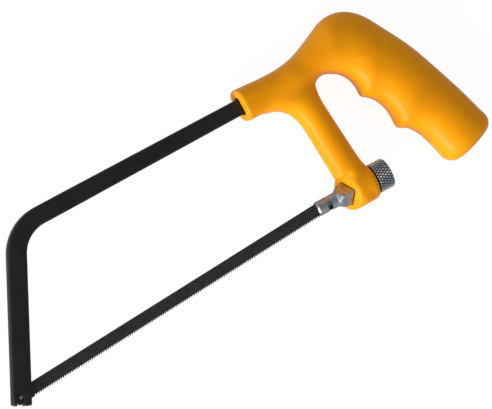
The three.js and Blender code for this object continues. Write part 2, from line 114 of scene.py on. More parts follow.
# Tension line, measured from the rear pin
AXIS_SLOPE = math.radians(-3.9)
NOSE_RADIUS = 3.1
NOSE_FRONT = -5.3
NOSE_REAR = 3.9
NOSE_CHAMFER = 0.5
NOSE_SLIT_WIDTH = 1.2
NOSE_SLIT_END = 3.8
NOSE_PIN_SLOT = 1.9
SHANK_HALF = 3.55
SHANK_END = 16.5
SHANK_CHAMFER = 2.9
SHANK_SQUARENESS = 26          # the higher, the sharper its corners
SHANK_SHOULDER = 0.5           # length of the chamfer at its rear end
THREAD_RADIUS = 2.4
THREAD_PITCH = 0.8
THREAD_DEPTH = 0.32
THREAD_END = 28.0
THREAD_RUNOUT = 0.8            # plain stretch between the shoulder and the thread
NOSE_CUT_REACH = 5
POCKET_HALF = 3.76
POCKET_END = 17.2
BORE_RADIUS = 2.9
BOSS_RADIUS = 7.6
BOSS_FACE = 9.3                # where the slanted front face crosses the tension line
BOSS_FACE_SLANT = math.radians(22.8)
BOSS_FACE_TOP = 6.6            # the face ends here, above the tension line
BOSS_REAR = 21.8
BOSS_EDGE = 2.4
SEAT_RADIUS = 5.7              # round recess at the back of the boss, for the washer
SEAT_DEPTH = 1.15
WASHER_FRONT = 20.95
WASHER_REAR = 21.75
WASHER_RADIUS = 5.4
WASHER_EDGE = 0.18
WASHER_HOLE_GAP = 0.35
KNOB_FRONT = 22.05
KNOB_REAR = 28.8
KNOB_RADIUS = 6.5
KNOB_CHAMFER = 0.55
KNOB_BORE = 2.75
KNOB_MOUTH = 0.35              # chamfer at each end of its bore
KNOB_FACE_RADII = (5.3, 4.6, 3.6, KNOB_BORE + KNOB_MOUTH)
KNURL_STARTS = 30
KNURL_ANGLE = math.radians(31)
KNURL_DEPTH = 0.5

# Handle
SOCKET_FACE = 137.4
SOCKET_LIP = 1.3
BUTT_DEPTH = 5.0
BUTT_EDGE = 4.2
HANDLE_VOXEL = 0.3
ARM_FILLET = 3.2               # moulded fillet where the arm leaves the body
BOSS_FILLET = 1.1              # the same, where the arm meets the boss
FACE_ROUNDING = 1.2            # of the edge of the boss's slanted face
ARCH_ROUNDING = 2.4            # of the arm, above that face
POCKET_CORNER = 0.5
MOUTH_FILLET = 0.7             # rounding of the mouths of the sockets


# ---------------------------------------------------------------- mesh helpers

def to_row(points):
    """Saw-plane millimetres to the row frame in metres."""
    return np.asarray(points, float) * MM + np.array(FRONT_PIN)


def on_axis(points):
    """Points along the tension line: along it, across it in the middle plane, and up."""
    points = np.asarray(points, float)
    cos, sin = math.cos(AXIS_SLOPE), math.sin(AXIS_SLOPE)
    x = PIN_SPACING + points[..., 0] * cos - points[..., 1] * sin
    y = points[..., 0] * sin + points[..., 1] * cos
    return np.stack([x, y, points[..., 2]], axis=-1)


def ring_about_axis(along, radius, angles):
    """A ring about the tension line, at a distance along it."""
    stations = np.full(len(angles), along)
    return on_axis(np.column_stack([stations, radius * np.cos(angles), radius * np.sin(angles)]))


def make_object(name, points, faces):
    """A mesh object from saw-plane points. Doubled points and flat faces are cleaned away."""
    mesh = bpy.data.meshes.new(name)
    mesh.from_pydata(to_row(points).tolist(), [], [list(map(int, face)) for face in faces])
    made = bpy.data.objects.new(name, mesh)
    bpy.context.scene.collection.objects.link(made)
    work = bmesh.new()
    work.from_mesh(mesh)
    bmesh.ops.remove_doubles(work, verts=work.verts, dist=1e-6)
    bmesh.ops.recalc_face_normals(work, faces=work.faces)
    work.to_mesh(mesh)
    work.free()
    return made


def settle(obj):
    """Applies an object's modifiers to its mesh."""
    graph = bpy.context.evaluated_depsgraph_get()
    mesh = bpy.data.meshes.new_from_object(obj.evaluated_get(graph))
    obj.modifiers.clear()
    obj.data = mesh


def cut(obj, tool):
    """Takes a closed tool out of a closed object, and deletes the tool."""
    modifier = obj.modifiers.new("cut", "BOOLEAN")
    modifier.operation = "DIFFERENCE"
    modifier.solver = "MANIFOLD"
    modifier.object = tool
    settle(obj)
    bpy.data.objects.remove(tool)


def soften(obj, width, angle=50, segments=2):
    """Breaks the sharp edges with a small bevel."""
    modifier = obj.modifiers.new("edges", "BEVEL")
    modifier.width = width * MM
    modifier.segments = segments
    modifier.limit_method = "ANGLE"
    modifier.angle_limit = math.radians(angle)
    modifier.harden_normals = False
    settle(obj)


def shade(obj, angle=30):
    """Smooth shading, with edges sharper than the angle kept."""
    mesh = obj.data
    mesh.polygons.foreach_set("use_smooth", [True] * len(mesh.polygons))
    mesh.set_sharp_from_angle(angle=math.radians(angle))


def grid_faces(rows, columns, closed_rows=False):
    """Quads over a grid of points, as rings of columns."""
    faces = []
    for row in range(rows if closed_rows else rows - 1):
        for column in range(columns):
            a = row * columns + column
            b = row * columns + (column + 1) % columns
            c = ((row + 1) % rows) * columns + (column + 1) % columns
            d = ((row + 1) % rows) * columns + column
            faces.append((a, b, c, d))
    return faces


def capped_loft(rings):
    """A closed skin over rings, each end closed by a fan."""
    rings = np.asarray(rings, float)
    rows, columns = rings.shape[:2]
    points = rings.reshape(-1, 3)
    ends = rings[[0, -1]].mean(axis=1)
    faces = grid_faces(rows, columns)
    for column in range(columns):
        after = (column + 1) % columns
        faces.append((len(points), after, column))
        last = (rows - 1) * columns
        faces.append((len(points) + 1, last + column, last + after))
    return np.vstack([points, ends]), faces


def prism(outline, low, high):
    """A flat outline of the middle plane, extruded along z."""
    outline = np.asarray(outline, float)
    rings = [np.column_stack([outline, np.full(len(outline), z)]) for z in (low, high)]
    return capped_loft(rings)


def arc(centre, radius, start, end, steps):
    angles = np.linspace(start, end, steps + 1)
    return np.column_stack([centre[0] + radius * np.cos(angles), centre[1] + radius * np.sin(angles)])


def quarter(steps):
    """Rising sine and falling cosine of a quarter turn, for rounded edges."""
    angles = np.linspace(0, math.pi / 2, steps + 1)
    return np.sin(angles), np.cos(angles)


# ---------------------------------------------------------------- frame bar

UPRIGHT_WAY = np.array([math.cos(UPRIGHT_SLOPE), math.sin(UPRIGHT_SLOPE)])
UPRIGHT_SIDE = np.array([UPRIGHT_WAY[1], -UPRIGHT_WAY[0]])
RAIL_WAY = np.array([math.cos(RAIL_SLOPE), math.sin(RAIL_SLOPE)])


def on_upright(along, across=0.0):
    return UPRIGHT_WAY * along + UPRIGHT_SIDE * across


def on_rail(x, across=0.0):
    middle = np.array([x, RAIL_HEIGHT + (x - RAIL_STATION) * math.tan(RAIL_SLOPE)])
    return middle + np.array([-RAIL_WAY[1], RAIL_WAY[0]]) * across


def rail_half(x):
    share = np.clip((x - RAIL_STATION) / (SOCKET_FACE - RAIL_STATION), 0, 1)
    return (RAIL_FRONT_WIDTH + (RAIL_REAR_WIDTH - RAIL_FRONT_WIDTH) * share) / 2


def bar_ring(at, heading, half, grow=0.0, corner_steps=6):
    """One rounded rectangular section of the bar."""
    points = []
    for turn, (across, up) in enumerate([(1, 1), (-1, 1), (-1, -1), (1, -1)]):
        for step in range(corner_steps + 1):
            angle = math.pi / 2 * (turn + step / corner_steps)
            sideways = across * (half + grow - BAR_EDGE) + BAR_EDGE * math.cos(angle)
            height = up * (BAR_HALF + grow - BAR_EDGE) + BAR_EDGE * math.sin(angle)
            points.append((
                at[0] - sideways * math.sin(heading),
                at[1] + sideways * math.cos(heading),
                height,
            ))
    return points


def bar_rings():
    start = on_upright(0, UPRIGHT_OFFSET)
    gap = on_rail(RAIL_STATION) - start
    crossing = UPRIGHT_WAY[0] * RAIL_WAY[1] - UPRIGHT_WAY[1] * RAIL_WAY[0]
    corner = start + UPRIGHT_WAY * (gap[0] * RAIL_WAY[1] - gap[1] * RAIL_WAY[0]) / crossing
    turn = UPRIGHT_SLOPE - RAIL_SLOPE
    bend_start = corner - UPRIGHT_WAY * BEND_RADIUS * math.tan(turn / 2)
    centre = bend_start + UPRIGHT_SIDE * BEND_RADIUS
    rings = []
    tip_steps = 5
    for rise, inset in zip(*quarter(tip_steps)):
        at = on_upright(FORK_TIP + TIP_EDGE * (1 - inset), UPRIGHT_OFFSET)
        rings.append(bar_ring(at, UPRIGHT_SLOPE, UPRIGHT_WIDTH / 2, -TIP_EDGE * (1 - rise)))
    for along in (2.0, 8.0, 16.0, 26.0, 36.0):
        rings.append(bar_ring(on_upright(along, UPRIGHT_OFFSET), UPRIGHT_SLOPE, UPRIGHT_WIDTH / 2))
    for share in np.linspace(0, 1, 33):
        heading = UPRIGHT_SLOPE - turn * share
        at = centre + BEND_RADIUS * np.array([-math.sin(heading), math.cos(heading)])
        width = UPRIGHT_WIDTH + (RAIL_FRONT_WIDTH - UPRIGHT_WIDTH) * share
        rings.append(bar_ring(at, heading, width / 2))
    for x in (RAIL_STATION, 75.0, 96.0, 117.0, SOCKET_FACE, TANG_END):
        rings.append(bar_ring(on_rail(x), RAIL_SLOPE, rail_half(x)))
    return rings


def across_upright(outline):
    """Outline in the upright's own axes (across it, along it) to the saw's middle plane."""
    return np.array([on_upright(along, across) for across, along in outline])


def make_frame_bar():
    bar = make_object("steel_frame", *capped_loft(bar_rings()))
    slit_start = FORK_TIP - 1
    slit_end = FORK_TIP + FORK_SLIT_DEPTH
    slit = [
        (-SLIT_REACH, slit_start),
        (SLIT_REACH, slit_start),
        (SLIT_REACH, slit_end),
        (-SLIT_REACH, slit_end),
    ]
    half_slit = FORK_SLIT_WIDTH / 2
    cut(bar, make_object("tool", *prism(across_upright(slit), -half_slit, half_slit)))
    half = PIN_SLOT_WIDTH / 2
    slot_top = arc((PIN_SLOT_OFFSET, PIN_SLOT_TOP - half), half, 0, math.pi, 12)
    slot = [(PIN_SLOT_OFFSET - half, slit_start), (PIN_SLOT_OFFSET + half, slit_start), *slot_top]
    cut(bar, make_object("tool", *prism(across_upright(slot), -BAR_HALF - 1, BAR_HALF + 1)))
    for x in NOTCH_STATIONS:
        for side in (1, -1):
            middle = on_rail(x, side * (rail_half(x) + NOTCH_RADIUS - TANG_NOTCH))
            disc = arc(middle, NOTCH_RADIUS, 0, 2 * math.pi, 24)[:-1]
            cut(bar, make_object("tool", *prism(disc, -BAR_HALF - 1, BAR_HALF + 1)))
    soften(bar, 0.22, angle=48)
    shade(bar, 35)
    return bar


# ---------------------------------------------------------------- handle

# The body runs from the socket, over the crown and down the grip. Each row holds the edge
# nearest the fingers, the outer edge, half the thickness and the squareness of the section.
SOCKET_HALF = 9.0
WEB_HALF = 9.6
GRIP_HALF = 11.79              # just inside the CAD's 11.8
BODY_ROWS = [
    (SOCKET_FACE + 1.2, 45.7, SOCKET_FACE + 1.9, 59.6, SOCKET_HALF, 3.0),
    (143.5, 45.5, 144.0, 59.1, SOCKET_HALF, 2.8),
    (149.5, 45.5, 149.8, 58.4, SOCKET_HALF, 2.6),
    (156.0, 46.0, 155.6, 58.0, SOCKET_HALF, 2.4),
    (162.0, 46.4, 161.2, 58.0, WEB_HALF, 2.3),
    (167.5, 46.8, 166.4, 58.7, WEB_HALF, 2.2),
    (172.0, 46.6, 171.8, 60.2, 10.2, 2.2),
    (176.0, 45.6, 178.4, 62.7, 11.0, 2.2),
    (179.0, 44.0, 185.4, 65.3, GRIP_HALF, 2.2),
    (181.5, 42.0, 191.8, 65.3, GRIP_HALF, 2.2),
    (183.2, 39.6, 197.2, 62.8, GRIP_HALF, 2.2),
    (184.3, 36.6, 201.3, 58.8, GRIP_HALF, 2.2),
    (184.7, 33.2, 204.0, 54.5, GRIP_HALF, 2.2),
    (184.5, 30.2, 206.2, 50.4, GRIP_HALF, 2.2),
    (186.4, 28.4, 208.1, 46.9, GRIP_HALF, 2.2),
    (188.7, 25.8, 210.5, 42.2, GRIP_HALF, 2.2),
    (190.5, 21.8, 213.1, 36.6, GRIP_HALF, 2.2),
    (191.2, 17.4, 215.1, 31.4, GRIP_HALF, 2.2),
    (191.0, 12.8, 216.7, 26.9, GRIP_HALF, 2.2),
    (191.4, 11.0, 217.7, 24.0, GRIP_HALF, 2.2),
    (193.9, 9.5, 219.0, 20.0, GRIP_HALF, 2.2),
    (196.2, 7.2, 220.4, 15.6, GRIP_HALF, 2.2),
    (198.4, 3.2, 221.9, 10.8, GRIP_HALF, 2.2),
    (199.6, -0.6, 223.3, 5.8, GRIP_HALF, 2.2),
    (200.6, -4.6, 224.6, 1.0, GRIP_HALF, 2.2),
    (201.6, -9.0, 225.5, -2.2, GRIP_HALF, 2.3),
]

# The arm hangs from the body to the boss: height, left edge, right edge, half the thickness.
ARM_HALF = 6.9
FOOT_HALF = 6.6
ARM_ROWS = [
    (51.0, 146.0, 176.0, 8.6),
    (48.0, 144.6, 173.5, 8.6),
    (45.2, 146.2, 170.2, 8.3),
    (42.9, 150.4, 169.2, 7.9),
    (39.9, 153.6, 168.6, 7.5),
    (36.4, 155.4, 168.4, 7.2),
    (31.0, 156.4, 168.6, ARM_HALF),
    (18.0, 156.7, 169.2, ARM_HALF),
    (9.5, 156.8, 169.7, ARM_HALF),
    (4.0, 156.4, 170.5, 6.8),
    (-1.0, 156.1, 170.0, FOOT_HALF),
    (-5.7, 155.7, 169.2, FOOT_HALF),
]
ARM_SQUARENESS = 2.2
HANDLE_SIDES = 96


def spline(rows, steps):
    """A smooth curve through rows of numbers, with a number of steps between each two."""
    rows = np.asarray(rows, float)
    padded = np.vstack([rows[0], rows, rows[-1]])
    shares = np.linspace(0, 1, steps, endpoint=False)[:, None]
    spans = []
    for place in range(len(rows) - 1):
        a, b, c, d = padded[place:place + 4]
        spans.append(0.5 * (
            2 * b
            + (c - a) * shares
            + (2 * a - 5 * b + 4 * c - d) * shares ** 2
            + (3 * b - 3 * c + d - a) * shares ** 3
        ))
    return np.vstack([*spans, rows[-1:]])


def oval_ring(front, back, half, squareness, inset=0.0):
    """Rounded section between two points of the middle plane."""
    centre, reach = (front + back) / 2, (back - front) / 2
    length = np.linalg.norm(reach)
    reach = reach * (length - inset) / length
    angles = np.linspace(0, 2 * math.pi, HANDLE_SIDES, endpoint=False)
    across = np.sign(np.cos(angles)) * np.abs(np.cos(angles)) ** (2 / squareness)
    up = np.sign(np.sin(angles)) * np.abs(np.sin(angles)) ** (2 / squareness)
    return np.column_stack([centre + across[:, None] * reach, (half - inset) * up])


def row_ring(row, shift=(0.0, 0.0), inset=0.0):
    shift = np.asarray(shift)
    return oval_ring(row[0:2] + shift, row[2:4] + shift, row[4], row[5], inset)


def body_rings():
    rows = spline(BODY_ROWS, 8)
    first, last = rows[0], rows[-1]
    edge = last[2:4] - last[0:2]
    butt_way = np.array([edge[1], -edge[0]]) / np.linalg.norm(edge)
    steps = 8
    lip = [
        row_ring(first, -RAIL_WAY * SOCKET_LIP * fall, SOCKET_LIP * (1 - rise))
        for rise, fall in zip(*quarter(steps))
    ]
    butt = [
        row_ring(last, butt_way * BUTT_DEPTH * rise, BUTT_EDGE * (1 - fall))
        for rise, fall in zip(*quarter(12))
    ]
    return lip[:-1] + [row_ring(row) for row in rows] + butt[1:]


def arm_rings():
    rows = [(left, y, right, y, half, ARM_SQUARENESS) for y, left, right, half in ARM_ROWS]
    rows = spline(rows, 8)
    down = np.array([math.sin(AXIS_SLOPE), -math.cos(AXIS_SLOPE)])
    end = [
        row_ring(rows[-1], down * BOSS_EDGE * rise, BOSS_EDGE * (1 - fall))
        for rise, fall in zip(*quarter(8))
    ]
    return [row_ring(row) for row in rows] + end[1:]


def turned(profile, sides):
    """Rings of a shape turned about the tension line, from (distance along it, radius)."""
    angles = np.linspace(0, 2 * math.pi, sides, endpoint=False)
    return [ring_about_axis(along, radius, angles) for along, radius in profile]


def boss_rings():
    rise, fall = quarter(10)
    front = (BOSS_FACE - BOSS_RADIUS, BOSS_RADIUS)
    rear = [
        (BOSS_REAR - BOSS_EDGE * (1 - r), BOSS_RADIUS - BOSS_EDGE * (1 - f))
        for r, f in zip(rise, fall)
    ]
    return turned([front, *rear], HANDLE_SIDES)


def rounded_maximum(first, second, rounding):
    share = np.clip(0.5 - 0.5 * (second - first) / rounding, 0, 1)
    return second + (first - second) * share + rounding * share * (1 - share)


class Field:
    """Signed distances in millimetres on a grid around the handle, negative inside."""

    def __init__(self, low, high, voxel):
        self.voxel = voxel
        self.first = np.floor(np.asarray(low) / voxel).astype(int)
        self.shape = tuple(np.ceil(np.asarray(high) / voxel).astype(int) - self.first)
        self.values = np.full(self.shape, 1e3, np.float32)

    def axes(self):
        """Coordinates of the grid points, ready to be combined."""
        return np.ogrid[tuple(slice(a, a + n) for a, n in zip(self.first, self.shape))]

    def from_rings(self, rings, band):
        points, faces = capped_loft(rings)
        triangles = np.array([f for f in faces if len(f) == 3], np.int32)
        quads = np.array([f for f in faces if len(f) == 4], np.int32)
        grid = openvdb.FloatGrid.createLevelSetFromPolygons(
            points.astype(np.float32),
            triangles=triangles,
            quads=quads,
            transform=openvdb.createLinearTransform(self.voxel),
            halfWidth=band / self.voxel,
        )
        values = np.empty(self.shape, np.float32)
        grid.copyToArray(values, ijk=tuple(int(n) for n in self.first))
        return values

    def join(self, other, fillet):
        """Union, with the inside corner filled to about that radius."""
        share = np.clip(0.5 + 0.5 * (other - self.values) / fillet, 0, 1)
        self.values = other + (self.values - other) * share - fillet * share * (1 - share)

    def take(self, tool, rounding):
        """Difference, with the mouth rounded to about that radius."""
        self.values = rounded_maximum(self.values, -tool, rounding)

    def polygons(self):
        grid = openvdb.FloatGrid(float(self.values.max()))
        grid.transform = openvdb.createLinearTransform(self.voxel)
        grid.copyFromArray(self.values, ijk=tuple(int(n) for n in self.first))
        points, quads = grid.convertToQuads(isovalue=0.0)
        return points, quads


def box_distance(offsets, halves):
    """Distance to a box, from the offsets to its middle and its half sizes."""
    gaps = [np.abs(offset) - half for offset, half in zip(offsets, halves)]
    outside = np.sqrt(sum(np.maximum(gap, 0) ** 2 for gap in gaps))
    inside = gaps[0]
    for gap in gaps[1:]:
        inside = np.maximum(inside, gap)
    return outside + np.minimum(inside, 0)


def make_handle():
    field = Field((130, -22, -15), (236, 74, 15), HANDLE_VOXEL)
    band = 6.0
    field.values = field.from_rings(body_rings(), band)
    field.join(field.from_rings(arm_rings(), band), ARM_FILLET)

    x, y, z = (axis * field.voxel for axis in field.axes())
    cos, sin = math.cos(AXIS_SLOPE), math.sin(AXIS_SLOPE)
    from_pin = (x - PIN_SPACING) * cos + y * sin
    aside = y * cos - (x - PIN_SPACING) * sin
    ahead = (BOSS_FACE - from_pin) * math.cos(BOSS_FACE_SLANT) + z * math.sin(BOSS_FACE_SLANT)
    field.take(np.maximum(-ahead, aside - BOSS_FACE_TOP), ARCH_ROUNDING)
    boss = rounded_maximum(field.from_rings(boss_rings(), band), ahead, FACE_ROUNDING)
    field.join(boss, BOSS_FILLET)

    along = (x - RAIL_STATION) * RAIL_WAY[0] + (y - RAIL_HEIGHT) * RAIL_WAY[1]
    across = (y - RAIL_HEIGHT) * RAIL_WAY[0] - (x - RAIL_STATION) * RAIL_WAY[1]
    socket_middle = (SOCKET_FACE - 12 + TANG_END) / 2 - RAIL_STATION
    socket_half = (TANG_END - SOCKET_FACE + 12) / 2 + FIT_GAP
    width = rail_half(SOCKET_FACE) + FIT_GAP - BAR_EDGE
    height = BAR_HALF + FIT_GAP - BAR_EDGE
    socket = box_distance((along - socket_middle, across, z), (socket_half, width, height)) - BAR_EDGE
    field.take(socket, MOUTH_FILLET)

    diagonal = math.sqrt(0.5)
    pocket = box_distance(
        (from_pin - POCKET_END / 2, (aside + z) * diagonal, (aside - z) * diagonal),
        (POCKET_END / 2 - POCKET_CORNER, POCKET_HALF - POCKET_CORNER, POCKET_HALF - POCKET_CORNER),
    ) - POCKET_CORNER
    field.take(pocket, MOUTH_FILLET)
    from_axis = np.sqrt(aside ** 2 + z ** 2)
    behind = BOSS_REAR + BOSS_RADIUS
    for radius, start in ((BORE_RADIUS, POCKET_END - 1), (SEAT_RADIUS, BOSS_REAR - SEAT_DEPTH)):
        middle, half = (start + behind) / 2, (behind - start) / 2
        field.take(box_distance((from_pin - middle, from_axis), (half, radius)), HANDLE_VOXEL)

    points, quads = field.polygons()
    handle = make_object("pistol_grip_handle", points, quads)
    smooth = handle.modifiers.new("smooth", "SMOOTH")
    smooth.factor = 0.5
    smooth.iterations = 3
    settle(handle)
    shade(handle, 180)
    return handle


# ---------------------------------------------------------------- blade and its pins

def blade_columns():
    """Stations along the blade: x, lower edge, upper edge and how far the edge leans."""
    gullet = TOOTH_LINE + TOOTH_DEPTH
    left, right = -BLADE_OVERHANG, PIN_SPACING + BLADE_OVERHANG
    count = math.floor((PIN_SPACING - 2 * PLAIN_END) / TOOTH_PITCH)
    start = (PIN_SPACING - count * TOOTH_PITCH) / 2
    columns = [(left, TOOTH_LINE + BLADE_CORNER, BLADE_SPINE - BLADE_CORNER, 0.0)]
    columns += [(x, TOOTH_LINE, BLADE_SPINE, 0.0) for x in (left + BLADE_CORNER, 0.8, start)]
    for tooth in range(count):
        x = start + tooth * TOOTH_PITCH
        lean = TOOTH_SET * math.sin(2 * math.pi * tooth / WAVE_TEETH)
        columns += [
            (x, gullet, BLADE_SPINE, lean * 0.3),
            (x + TOOTH_PITCH * TOOTH_RAKE, TOOTH_LINE, BLADE_SPINE, lean),
            (x + TOOTH_PITCH * TOOTH_TIP, TOOTH_LINE + TOOTH_DEPTH * 0.08, BLADE_SPINE, lean),
            (x + TOOTH_PITCH * TOOTH_BACK, gullet - TOOTH_DEPTH * 0.12, BLADE_SPINE, lean * 0.4),
        ]
    end = start + count * TOOTH_PITCH
    columns.append((end, gullet, BLADE_SPINE, 0.0))
    plain = (end + 0.1, PIN_SPACING - 0.8, right - BLADE_CORNER)
    columns += [(x, TOOTH_LINE, BLADE_SPINE, 0.0) for x in plain]
    columns.append((right, TOOTH_LINE + BLADE_CORNER, BLADE_SPINE - BLADE_CORNER, 0.0))
    return columns


def blade_section(column):
    """Closed ring round the blade at one station: down one side and up the other."""
    x, low, high, lean = column
    gullet = TOOTH_LINE + TOOTH_DEPTH
    heights = np.clip([high, high - BLADE_CHAMFER, 2.0, 0.0, TOOTH_LEAN_TOP, gullet, low], low, high)
    halves = np.full(len(heights), BLADE_HALF)
    halves[0] -= BLADE_CHAMFER
    leaning = lean * np.clip((TOOTH_LEAN_TOP - heights) / (TOOTH_LEAN_TOP - TOOTH_LINE), 0, 1) ** 1.5
    face = np.column_stack([np.full(len(heights), x), heights, leaning + halves])
    back = np.column_stack([np.full(len(heights), x), heights, leaning - halves])[::-1]
    return np.vstack([face, back])


def make_blade():
    sections = [blade_section(column) for column in blade_columns()]
    blade = make_object("toothed_blade", *capped_loft(sections))
    for x in (0.0, PIN_SPACING):
        disc = arc((x, 0.0), PIN_RADIUS + PIN_HOLE_GAP, 0, 2 * math.pi, 32)[:-1]
        cut(blade, make_object("tool", *prism(disc, -1, 1)))
    shade(blade, 25)
    return blade


def make_pin(name, node):
    """A hard pin with broken edges and slightly domed ends."""
    low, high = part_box(node)
    half = (high.z - low.z) / 2 / MM
    middle = (centre_of(node) - FRONT_PIN) / MM
    profile = []
    for share in np.linspace(0.02, 1, 8):
        profile.append((half - PIN_DOME * share ** 2, (PIN_RADIUS - PIN_EDGE) * share))
    for rise, fall in zip(*quarter(6)):
        profile.append((half - PIN_DOME - PIN_EDGE * (1 - fall), PIN_RADIUS - PIN_EDGE * (1 - rise)))
    profile += [(-height, radius) for height, radius in reversed(profile)]
    angles = np.linspace(0, 2 * math.pi, 40, endpoint=False)
    rings = [
        np.column_stack([
            middle.x + radius * np.cos(angles),
            middle.y + radius * np.sin(angles),
            np.full(len(angles), height),
        ])
        for height, radius in profile
    ]
    pin = make_object(name, *capped_loft(rings))
    shade(pin, 40)
    return pin


# ---------------------------------------------------------------- drawbar, washer and knob

def zigzag(phase):
    """0 at whole numbers, rising to 1 half way between them."""
    return 1 - np.abs(2 * (phase % 1.0) - 1)


def radial_rings(stations, sides, radius_at):
    """Rings about the tension line whose radius changes with the place and the angle."""
    angles = np.linspace(0, 2 * math.pi, sides, endpoint=False)
    return [ring_about_axis(station, radius_at(station, angles), angles) for station in stations]


def thread_depth(wave):
    """How deep a thread stands at a place of its zigzag, with its crests and roots flattened."""
    return THREAD_DEPTH * (1 - np.clip(wave * 1.3 - 0.15, 0, 1))


def thread_radius(along, angles, outer):
    return outer - thread_depth(zigzag(along / THREAD_PITCH - angles / (2 * math.pi)))


def drawbar_radius(along, angles):
    turn = angles - math.pi / 4
    power = SHANK_SQUARENESS
    reach = np.abs(np.cos(turn)) ** power + np.abs(np.sin(turn)) ** power
    square = SHANK_HALF * reach ** (-1 / power)
    corner = SHANK_HALF * math.sqrt(2)
    if along <= NOSE_REAR:
        edge = max(0.0, NOSE_FRONT + NOSE_CHAMFER - along)
        return np.full(len(angles), NOSE_RADIUS - edge)
    if along <= SHANK_END - SHANK_SHOULDER:
        flare = NOSE_RADIUS + (along - NOSE_REAR) * (corner - NOSE_RADIUS) / SHANK_CHAMFER
        return np.maximum(NOSE_RADIUS, np.minimum(square, flare))
    if along <= SHANK_END:
        shoulder = corner - 1.2 * (along - SHANK_END + SHANK_SHOULDER)
        return np.minimum(square, shoulder)
    thread = thread_radius(along, angles, THREAD_RADIUS)
    lead_in = THREAD_RADIUS - 0.5 + (THREAD_END - along)
    runout = THREAD_RADIUS - THREAD_DEPTH
    return np.where(along < SHANK_END + THREAD_RUNOUT, runout, np.minimum(thread, lead_in))


def make_drawbar():
    tip = np.linspace(NOSE_FRONT + 0.02, NOSE_FRONT + NOSE_CHAMFER, 4)
    nose = [NOSE_FRONT, *tip, -2, 0, 2, NOSE_REAR]
    flare = np.linspace(NOSE_REAR, NOSE_REAR + SHANK_CHAMFER * 1.15, 24)[1:]
    shank = [8.0, 12.0, SHANK_END - SHANK_SHOULDER, SHANK_END - SHANK_SHOULDER / 2, SHANK_END]
    thread = np.linspace(SHANK_END + 0.001, THREAD_END, 116)
    rings = radial_rings([*nose, *flare, *shank, *thread], 192, drawbar_radius)
    drawbar = make_object("drawbar_with_nose", *capped_loft(rings))
    half_slit = NOSE_SLIT_WIDTH / 2
    outline = [
        (NOSE_FRONT - 1, -NOSE_CUT_REACH),
        (NOSE_SLIT_END, -NOSE_CUT_REACH),
        (NOSE_SLIT_END, NOSE_CUT_REACH),
        (NOSE_FRONT - 1, NOSE_CUT_REACH),
    ]
    slit = on_axis([(x, y, z) for z in (-half_slit, half_slit) for x, y in outline])
    cut(drawbar, make_object("tool", *capped_loft(slit.reshape(2, 4, 3))))
    half = NOSE_PIN_SLOT / 2
    outline = [(-half, -NOSE_CUT_REACH), (half, -NOSE_CUT_REACH), *arc((0, 0), half, 0, math.pi, 16)]
    slot = on_axis([(x, y, z) for z in (-NOSE_CUT_REACH, NOSE_CUT_REACH) for x, y in outline])
    cut(drawbar, make_object("tool", *capped_loft(slot.reshape(2, len(outline), 3))))
    soften(drawbar, 0.12, angle=60)
    shade(drawbar, 32)
    return drawbar


def make_washer():
    inner = THREAD_RADIUS + WASHER_HOLE_GAP
    rise, fall = quarter(5)
    corners = [
        (WASHER_FRONT, WASHER_RADIUS, 1, -1),
        (WASHER_REAR, WASHER_RADIUS, -1, -1),
        (WASHER_REAR, inner, -1, 1),
        (WASHER_FRONT, inner, 1, 1),
    ]
    profile = []
    for along, radius, inwards, outwards in corners:
        round_edge = [
            (along + inwards * WASHER_EDGE * (1 - f), radius + outwards * WASHER_EDGE * (1 - r))
            for r, f in zip(rise, fall)
        ]
        profile += round_edge if inwards * outwards < 0 else round_edge[::-1]
    rings = turned(profile, 72)
    points = np.vstack(rings)
    washer = make_object("thrust_washer_ring", points, grid_faces(len(rings), 72, closed_rows=True))
    shade(washer, 35)
    return washer


KNURL_LEAD = 2 * math.pi * KNOB_RADIUS / KNURL_STARTS / math.tan(KNURL_ANGLE)


def knurl_radius(along, angles):
    """Diamond knurl: two sets of crossing grooves, cut back by the chamfers at the ends."""
    around = KNURL_STARTS * angles / (2 * math.pi)
    grooves = np.maximum(zigzag(around + along / KNURL_LEAD), zigzag(around - along / KNURL_LEAD))
    knurl = KNOB_RADIUS - KNURL_DEPTH * grooves
    edge = min(along - KNOB_FRONT, KNOB_REAR - along)
    return np.minimum(knurl, KNOB_RADIUS - KNOB_CHAMFER + edge * 0.9)


def bore_radius(along, angles):
    return KNOB_BORE - 0.8 * thread_depth(zigzag(along / THREAD_PITCH - angles / (2 * math.pi)))


def make_knob():
    steps_per_groove = 12
    sides = KNURL_STARTS * steps_per_groove
    count = round((KNOB_REAR - KNOB_FRONT) / (KNURL_LEAD / steps_per_groove))
    outside = radial_rings(np.linspace(KNOB_FRONT, KNOB_REAR, count + 1), sides, knurl_radius)
    rear = turned([(KNOB_REAR, radius) for radius in KNOB_FACE_RADII], sides)
    bore_stations = np.linspace(KNOB_REAR - KNOB_MOUTH, KNOB_FRONT + KNOB_MOUTH, 50)
    bore = radial_rings(bore_stations, sides, bore_radius)
    front = turned([(KNOB_FRONT, radius) for radius in reversed(KNOB_FACE_RADII)], sides)
    rings = [*outside, *rear, *bore, *front]
    points = np.vstack(rings)
    quads = np.array(grid_faces(len(rings), sides, closed_rows=True))
    corners = points[quads]
    middle = (corners[:, 0] + corners[:, 2]) / 2
    other = (corners[:, 1] + corners[:, 3]) / 2
    knob = make_object("knurled_tension_knob", points, split_quads(quads, middle, other))
    shade(knob, 22)
    return knob


def split_quads(quads, middle, other):
    """Splits each quad along the diagonal that stands further from the tension line."""
    start = on_axis([(0.0, 0.0, 0.0)])[0]
    way = on_axis([(1.0, 0.0, 0.0)])[0] - start
    reach = [np.linalg.norm(np.cross(points - start, way), axis=1) for points in (middle, other)]
    faces = []
    for (a, b, c, d), first_is_ridge in zip(quads, reach[0] >= reach[1]):
        faces += [(a, b, c), (a, c, d)] if first_is_ridge else [(a, b, d), (b, c, d)]
    return faces


# ---------------------------------------------------------------- materials

